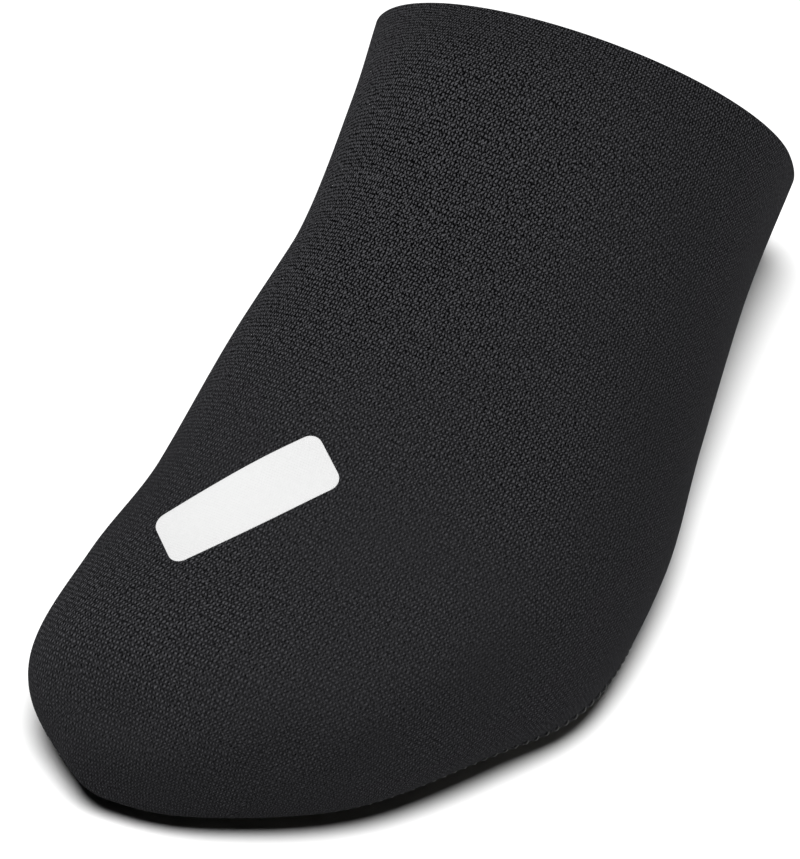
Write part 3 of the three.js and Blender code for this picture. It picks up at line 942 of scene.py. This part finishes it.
def knit_material():
    """Fine knit: columns and rows of stitches, no two of them alike, that stand out more or less by place.
    Its colour is darker in the low places between the stitches, which is painted shade, and varies at random.
    """
    graph = Graph("knit")
    u, v, cloth = graph.cloth()
    warp = graph.noise(cloth, 0.16, 2.0)
    warp = graph.math("MULTIPLY", graph.math("SUBTRACT", warp, 0.5), KNIT_WAVER)
    column = graph.math("ADD", graph.math("DIVIDE", u, WALE_PITCH), warp)
    row = graph.math("ADD", graph.math("DIVIDE", v, COURSE_PITCH), warp)
    joined = graph.nodes.new("ShaderNodeCombineXYZ")
    graph.put(joined.inputs[0], column)
    graph.put(joined.inputs[1], row)
    shift = graph.noise(joined.outputs[0], 0.7, 1.0)
    shift = graph.math("MULTIPLY", graph.math("SUBTRACT", shift, 0.5), KNIT_SHIFT)
    wales = graph.math("COSINE", graph.math("MULTIPLY", graph.math("ADD", column, shift), 2 * math.pi))
    courses = graph.math("COSINE", graph.math("MULTIPLY", graph.math("SUBTRACT", row, shift), 2 * math.pi))
    stitch = graph.math("MULTIPLY", wales, graph.math("MULTIPLY_ADD", courses, 0.60, 0.40))
    stitch = graph.math("MULTIPLY_ADD", courses, 0.22, stitch)
    uneven = graph.noise(joined.outputs[0], 1.3, 2.0, 0.6)
    height = graph.math("MULTIPLY_ADD", graph.math("SUBTRACT", uneven, 0.5), KNIT_UNEVEN, stitch)
    # Per place, how strongly the stitches' painted gap shade and their random tone show
    stitch_contrast = graph.nodes.new("ShaderNodeAttribute")
    stitch_contrast.attribute_name = "stitch_contrast"
    patch = graph.noise(cloth, 0.05, 3.0, 0.55)
    least = graph.math("ADD", stitch_contrast.outputs["Fac"], KNIT_LEAST)
    strength = graph.math("MULTIPLY_ADD", patch, KNIT_PATCHES, least)
    contrast = graph.math("MULTIPLY", strength, KNIT_CONTRAST)
    # Colour follows the stitches' height: the low gaps between them get painted shade, and the uneven height
    # gives random flecks
    tone = graph.math("MULTIPLY_ADD", height, contrast, 0.5, clamp=True)
    share = graph.math("POWER", tone, 1.9)
    graph.put(graph.shader.inputs["Base Color"], graph.mix(share, KNIT_DARK, KNIT_LIGHT))
    graph.put(graph.shader.inputs["Roughness"], graph.math("MULTIPLY_ADD", uneven, 0.15, 0.8))
    graph.shader.inputs["Specular IOR Level"].default_value = 0.005
    graph.put(graph.shader.inputs["Normal"], graph.bump(height, KNIT_RELIEF))
    return graph.material


def lining_material():
    """The brushed inside of the knit."""
    graph = Graph("lining")
    _, _, cloth = graph.cloth()
    nap = graph.noise(cloth, 1.6, 4.0, 0.7)
    tuft = graph.noise(cloth, 0.25, 3.0, 0.6)
    share = graph.math("MULTIPLY", nap, graph.math("ADD", tuft, 0.5), clamp=True)
    graph.put(graph.shader.inputs["Base Color"], graph.mix(share, grey(0.012), grey(0.05, 0.04)))
    graph.put(graph.shader.inputs["Roughness"], graph.math("MULTIPLY_ADD", nap, 0.15, 0.82))
    graph.shader.inputs["Specular IOR Level"].default_value = 0.2
    graph.shader.inputs["Sheen Weight"].default_value = 0.2
    graph.put(graph.shader.inputs["Normal"], graph.bump(nap, 0.15 * MM))
    return graph.material


PRINT_LOW = grey(0.365)
PRINT_HIGH = grey(0.395)


def print_material():
    """Matt white transfer print, in which the stitches under it show faintly."""
    graph = Graph("print")
    u, v, cloth = graph.cloth()
    wales = graph.math("COSINE", graph.math("MULTIPLY", u, 2 * math.pi / WALE_PITCH))
    courses = graph.math("COSINE", graph.math("MULTIPLY", v, 2 * math.pi / COURSE_PITCH))
    uneven = graph.noise(cloth, 0.7, 3.0, 0.6)
    relief = graph.math("MULTIPLY_ADD", uneven, 2.0, graph.math("MULTIPLY", wales, courses))
    graph.put(graph.shader.inputs["Base Color"], graph.mix(uneven, PRINT_LOW, PRINT_HIGH))
    graph.put(graph.shader.inputs["Roughness"], graph.math("MULTIPLY_ADD", uneven, 0.2, 0.45))
    graph.shader.inputs["Specular IOR Level"].default_value = 0.15
    graph.put(graph.shader.inputs["Normal"], graph.bump(relief, 0.02 * MM))
    return graph.material


CORD_PITCH = 1.3  # millimetres of cloth from cord to cord
PANEL_DARK = (0.009, 0.009, 0.008, 1.0)
PANEL_LIGHT = (0.078, 0.075, 0.061, 1.0)


def panel_material():
    """Coarse tough cloth of plain woven cords, a little yellow."""
    graph = Graph("sole_cloth")
    u, v, cloth = graph.cloth()
    jitter = graph.math("MULTIPLY", graph.math("SUBTRACT", graph.noise(cloth, 0.8, 2.0), 0.5), 0.5)
    over = graph.math("ADD", graph.math("MULTIPLY", u, 2 * math.pi / CORD_PITCH), jitter)
    under = graph.math("ADD", graph.math("MULTIPLY", v, 2 * math.pi / CORD_PITCH), jitter)
    weave = graph.math("MULTIPLY", graph.math("SINE", over), graph.math("SINE", under))
    fibre = graph.math("SUBTRACT", graph.noise(cloth, 3.5, 3.0, 0.7), 0.5)
    height = graph.math("MULTIPLY_ADD", fibre, 1.1, weave)
    share = graph.math("MULTIPLY_ADD", height, 0.28, 0.38, clamp=True)
    graph.put(graph.shader.inputs["Base Color"], graph.mix(share, PANEL_DARK, PANEL_LIGHT))
    graph.put(graph.shader.inputs["Roughness"], graph.math("MULTIPLY_ADD", fibre, 0.2, 0.75))
    graph.shader.inputs["Specular IOR Level"].default_value = 0.3
    graph.put(graph.shader.inputs["Normal"], graph.bump(height, 0.16 * MM))
    return graph.material


def thread_material():
    graph = Graph("thread")
    twist = graph.nodes.new("ShaderNodeTexWave")
    twist.wave_type = "BANDS"
    twist.bands_direction = "DIAGONAL"
    graph.put(twist.inputs["Vector"], graph.place())
    twist.inputs["Scale"].default_value = 900
    twist.inputs["Distortion"].default_value = 1.0
    fac = twist.outputs["Fac"]
    graph.put(graph.shader.inputs["Base Color"], graph.mix(fac, grey(0.003), grey(0.014)))
    graph.shader.inputs["Roughness"].default_value = 0.6
    graph.put(graph.shader.inputs["Normal"], graph.bump(fac, 0.05 * MM))
    return graph.material


# The camera, at the photograph's angle
CAMERA_AZIMUTH = math.radians(23.17)
CAMERA_ELEVATION = math.radians(44.0)
CAMERA_DISTANCE = 1.0399
CAMERA_TARGET = Vector((-0.004131, -0.0175, 0.0370))
IMAGE_WIDTH, IMAGE_HEIGHT = 800, 859
PIXELS_PER_METRE = 5040.0
OPTICAL_CENTRE = (394.65, 439.04)


def camera_axes():
    """Directions from the target to the camera, to the picture's right and up it."""
    flat = math.cos(CAMERA_ELEVATION)
    back = Vector((math.sin(CAMERA_AZIMUTH) * flat, -math.cos(CAMERA_AZIMUTH) * flat,
                   math.sin(CAMERA_ELEVATION)))
    right = Vector((math.cos(CAMERA_AZIMUTH), math.sin(CAMERA_AZIMUTH), 0))
    return back, right, back.cross(right)


def make_camera():
    data = bpy.data.cameras.new("camera")
    camera = bpy.data.objects.new("camera", data)
    bpy.context.scene.collection.objects.link(camera)
    back, _, _ = camera_axes()
    camera.location = CAMERA_TARGET + back * CAMERA_DISTANCE
    camera.rotation_euler = back.to_track_quat("Z", "Y").to_euler()
    data.sensor_width = 36
    data.lens = PIXELS_PER_METRE * CAMERA_DISTANCE / IMAGE_HEIGHT * data.sensor_width
    data.shift_x = (IMAGE_WIDTH / 2 - OPTICAL_CENTRE[0]) / IMAGE_HEIGHT
    data.shift_y = (OPTICAL_CENTRE[1] - IMAGE_HEIGHT / 2) / IMAGE_HEIGHT
    bpy.context.scene.camera = camera


def make_floor():
    size = 4.0
    points = np.array([(-size, -size, 0), (size, -size, 0), (size, size, 0), (-size, size, 0)])
    graph = Graph("floor")
    tone = graph.noise(graph.place(), 2.0, 2.0)
    graph.put(graph.shader.inputs["Base Color"], graph.mix(tone, grey(0.44), grey(0.46)))
    graph.shader.inputs["Roughness"].default_value = 0.9
    graph.shader.inputs["Specular IOR Level"].default_value = 0.1
    floor = mesh_object("floor", points, [np.array([[0, 1, 2, 3]])], [graph.material], smooth=False)
    return floor


LIGHT_TARGET = Vector((0, 0, 0.04))
SOFTBOX_SIZE = 1.0
SOFTBOXES = {
    "front_left": ((-0.75, -0.75, 1.10), 37),
    "left": ((-0.75, 0.0, 1.30), 16),
    "low_right": ((1.30, -0.1, 0.55), 27),
}
FLOOR_LIGHT = 9.0
FLOOR_LIGHT_SPREAD = math.radians(26)
FLOOR_LIGHT_FROM = Vector((0.13, -0.26, 1.0))


def area_light(name, place, watts, receivers):
    data = bpy.data.lights.new(name, "AREA")
    data.shape = "SQUARE"
    data.size = SOFTBOX_SIZE
    data.energy = watts
    light = bpy.data.objects.new(name, data)
    light.location = place
    light.rotation_euler = (Vector(place) - LIGHT_TARGET).to_track_quat("Z", "Y").to_euler()
    bpy.context.scene.collection.objects.link(light)
    light.light_linking.receiver_collection = receivers


def floor_light(receivers):
    """Even light from above that makes the floor white up to the cover's close shadow."""
    data = bpy.data.lights.new("floor_light", "SUN")
    data.energy = FLOOR_LIGHT
    data.angle = FLOOR_LIGHT_SPREAD
    light = bpy.data.objects.new("floor_light", data)
    light.rotation_euler = FLOOR_LIGHT_FROM.to_track_quat("Z", "Y").to_euler()
    bpy.context.scene.collection.objects.link(light)
    light.light_linking.receiver_collection = receivers


def make_lights(floor):
    """Softboxes light the cover, and the floor has a light of its own, so that it is white all over."""
    only_floor = bpy.data.collections.new("only_floor")
    only_floor.objects.link(floor)
    all_but_floor = bpy.data.collections.new("all_but_floor")
    all_but_floor.objects.link(floor)
    all_but_floor.collection_objects[0].light_linking.link_state = "EXCLUDE"
    for name, (place, watts) in SOFTBOXES.items():
        area_light(name, place, watts, all_but_floor)
    floor_light(only_floor)


def make_world():
    """A white background that gives no light."""
    world = bpy.data.worlds.new("world")
    bpy.context.scene.world = world
    world.use_nodes = True
    nodes, links = world.node_tree.nodes, world.node_tree.links
    path = nodes.new("ShaderNodeLightPath")
    background = nodes["Background"]
    background.inputs["Color"].default_value = (1, 1, 1, 1)
    links.new(path.outputs["Is Camera Ray"], background.inputs["Strength"])


bpy.context.scene.view_settings.view_transform = "Standard"
make_camera()
make_world()
make_lights(make_floor())

knit = knit_material()
lining = lining_material()
sole_cloth = panel_material()
thread = thread_material()
white = print_material()

upper, upper_cloth = make_upper(knit, lining)
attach(upper, "root")
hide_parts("upper")

panel = make_panel(sole_cloth)
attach(panel, "root")
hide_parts("sole")

seam_edge = make_seam_edge(knit, upper_cloth)
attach(seam_edge, "root")

seam_thread = make_seam_thread(thread, upper_cloth)
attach(seam_thread, "root")

mark = make_print(white, upper_cloth)
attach(mark, "root")
